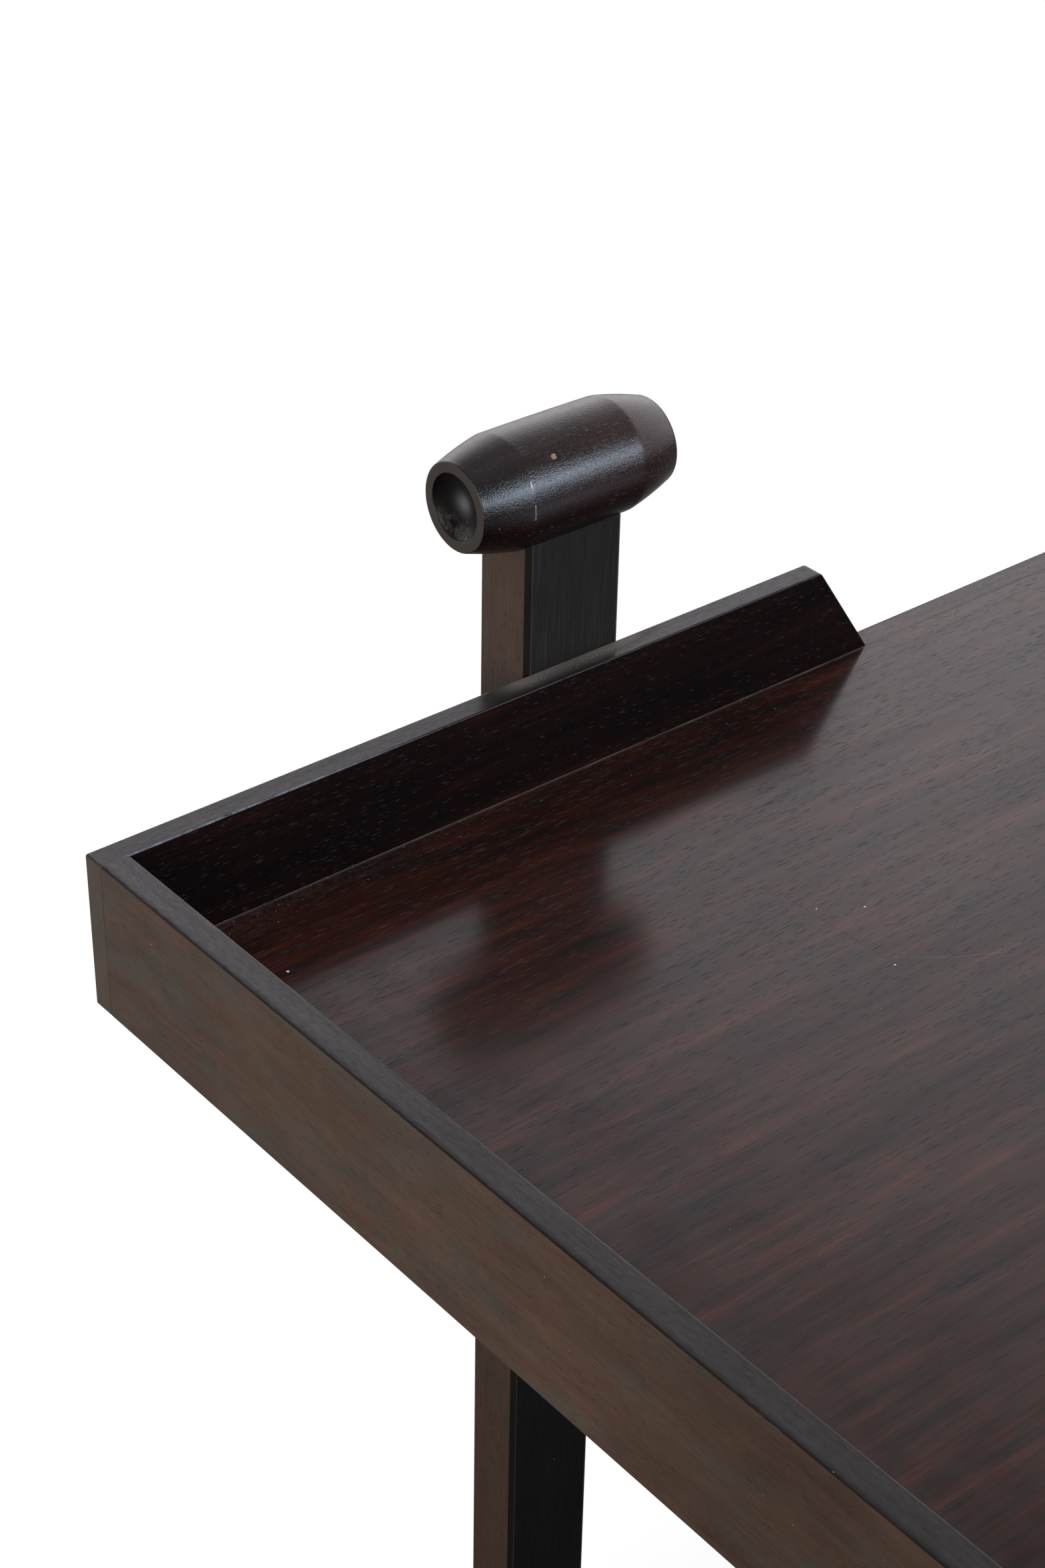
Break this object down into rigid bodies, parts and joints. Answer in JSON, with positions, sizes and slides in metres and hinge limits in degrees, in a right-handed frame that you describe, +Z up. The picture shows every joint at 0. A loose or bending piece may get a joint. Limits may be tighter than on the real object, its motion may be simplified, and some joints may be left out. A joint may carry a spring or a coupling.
{
  "type": "serving trolley",
  "caption": "Two-tier rosewood serving trolley: shallow trays with cut-down sides on outside posts that carry turned barrel grips and swivel casters.",
  "frame": {"origin": "on the floor, under the middle of the trays", "axes": "+X along the trays to the rear end, +Y to the left side, +Z up"},
  "size_m": [0.9, 0.5572, 0.8334],
  "materials": {
    "rosewood": "satin lacquer, open pores",
    "beech": "raw",
    "brass": "polished, lightly tarnished",
    "steel": "turned",
    "nylon": "matt",
    "wheel_core": "moulded, half matt",
    "tyre": "matt"
  },
  "bodies": {
    "frame": {"upper_deck": "rosewood", "upper_left_side_board": "rosewood", "upper_right_side_board": "rosewood", "upper_front_end_board": "rosewood", "upper_rear_end_board": "rosewood", "lower_deck": "rosewood", "lower_left_side_board": "rosewood", "lower_right_side_board": "rosewood", "lower_front_end_board": "rosewood", "lower_rear_end_board": "rosewood", "post_front_left": "rosewood", "grip_front_left": "rosewood", "post_front_right": "rosewood", "grip_front_right": "rosewood", "post_rear_left": "rosewood", "grip_rear_left": "rosewood", "post_rear_right": "rosewood", "grip_rear_right": "rosewood", "grip_dowels": "beech", "upper_post_dowels": "beech", "lower_post_dowels": "beech", "upper_corner_dowels": "beech", "lower_corner_dowels": "beech", "caster_socket_front_left": "brass", "caster_socket_front_right": "brass", "caster_socket_rear_left": "brass", "caster_socket_rear_right": "brass"},
    "caster_front_left": {"caster_stem_front_left": "steel", "caster_washer_front_left": "nylon", "caster_fork_front_left": "brass", "caster_axle_front_left": "brass"},
    "wheel_front_left": {"caster_core_front_left": "wheel_core", "caster_tyre_front_left": "tyre"},
    "caster_front_right": {"caster_stem_front_right": "steel", "caster_washer_front_right": "nylon", "caster_fork_front_right": "brass", "caster_axle_front_right": "brass"},
    "wheel_front_right": {"caster_core_front_right": "wheel_core", "caster_tyre_front_right": "tyre"},
    "caster_rear_left": {"caster_stem_rear_left": "steel", "caster_washer_rear_left": "nylon", "caster_fork_rear_left": "brass", "caster_axle_rear_left": "brass"},
    "wheel_rear_left": {"caster_core_rear_left": "wheel_core", "caster_tyre_rear_left": "tyre"},
    "caster_rear_right": {"caster_stem_rear_right": "steel", "caster_washer_rear_right": "nylon", "caster_fork_rear_right": "brass", "caster_axle_rear_right": "brass"},
    "wheel_rear_right": {"caster_core_rear_right": "wheel_core", "caster_tyre_rear_right": "tyre"}
  },
  "joints": [
    {"name": "swivel_front_left", "type": "hinge", "parent": "frame", "child": "caster_front_left", "pos_m": [-0.225, 0.255, 0.085], "axis": [0, 0, 1], "continuous": true},
    {"name": "roll_front_left", "type": "hinge", "parent": "caster_front_left", "child": "wheel_front_left", "pos_m": [-0.247, 0.255, 0.028], "axis": [0, 1, 0], "continuous": true},
    {"name": "swivel_front_right", "type": "hinge", "parent": "frame", "child": "caster_front_right", "pos_m": [-0.225, -0.255, 0.085], "axis": [0, 0, 1], "continuous": true},
    {"name": "roll_front_right", "type": "hinge", "parent": "caster_front_right", "child": "wheel_front_right", "pos_m": [-0.247, -0.255, 0.028], "axis": [0, 1, 0], "continuous": true},
    {"name": "swivel_rear_left", "type": "hinge", "parent": "frame", "child": "caster_rear_left", "pos_m": [0.225, 0.255, 0.085], "axis": [0, 0, 1], "continuous": true},
    {"name": "roll_rear_left", "type": "hinge", "parent": "caster_rear_left", "child": "wheel_rear_left", "pos_m": [0.203, 0.255, 0.028], "axis": [0, 1, 0], "continuous": true},
    {"name": "swivel_rear_right", "type": "hinge", "parent": "frame", "child": "caster_rear_right", "pos_m": [0.225, -0.255, 0.085], "axis": [0, 0, 1], "continuous": true},
    {"name": "roll_rear_right", "type": "hinge", "parent": "caster_rear_right", "child": "wheel_rear_right", "pos_m": [0.203, -0.255, 0.028], "axis": [0, 1, 0], "continuous": true}
  ]
}
